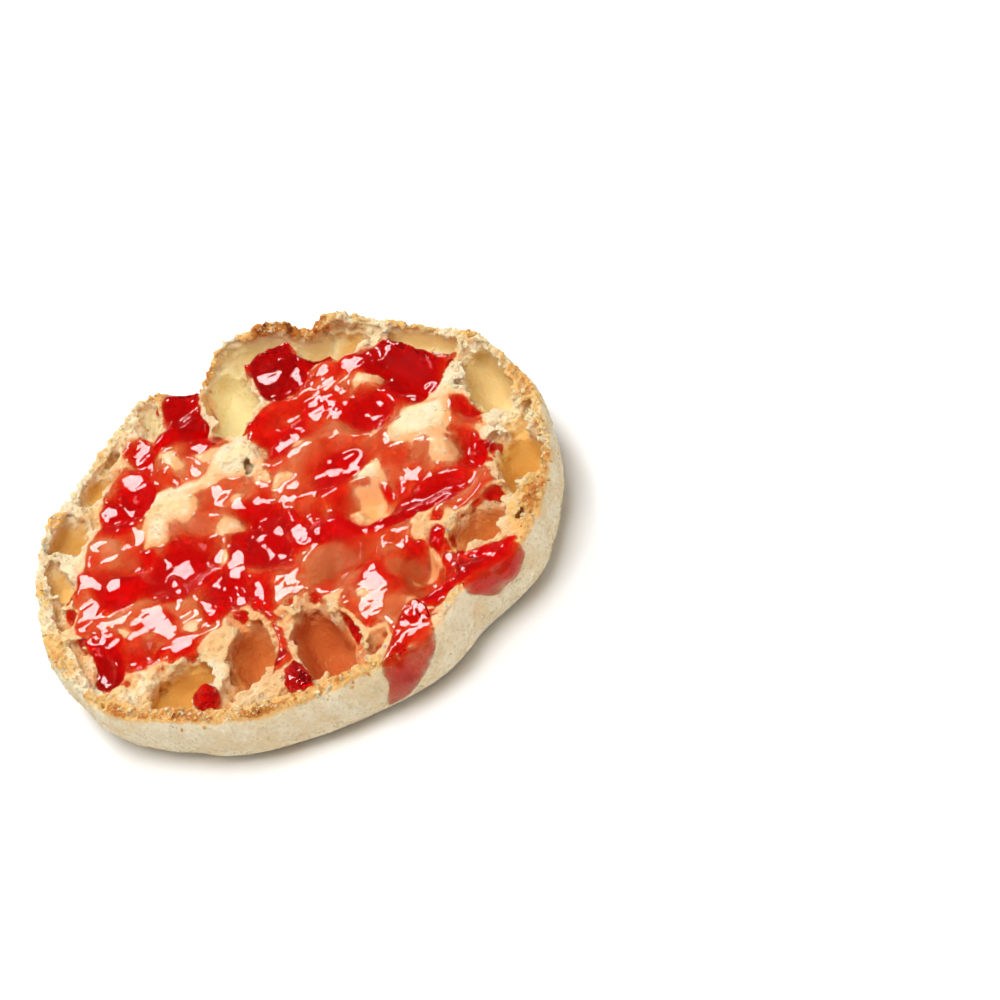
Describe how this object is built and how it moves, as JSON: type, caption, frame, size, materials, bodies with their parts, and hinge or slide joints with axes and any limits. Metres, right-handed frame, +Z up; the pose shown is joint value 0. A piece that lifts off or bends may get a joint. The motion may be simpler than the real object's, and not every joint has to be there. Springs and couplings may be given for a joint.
{
  "type": "english muffin half with jam",
  "caption": "Toasted english muffin half, torn side up, spread with red jam that fills its pockets and runs down one side",
  "frame": {"origin": "middle of the griddled base, on the plane it rests on", "axes": "+Z up out of the torn face; +X along the longest way across; -Y towards the side that the jam runs down"},
  "size_m": [0.0953, 0.0981, 0.0167],
  "materials": {
    "crumb": "rough baked crumb",
    "jam": "wet gloss"
  },
  "bodies": {
    "root": {"muffin_half": "crumb", "jam_spread": "jam", "jam_drop_left": "jam", "jam_drop_front": "jam"}
  },
  "joints": []
}
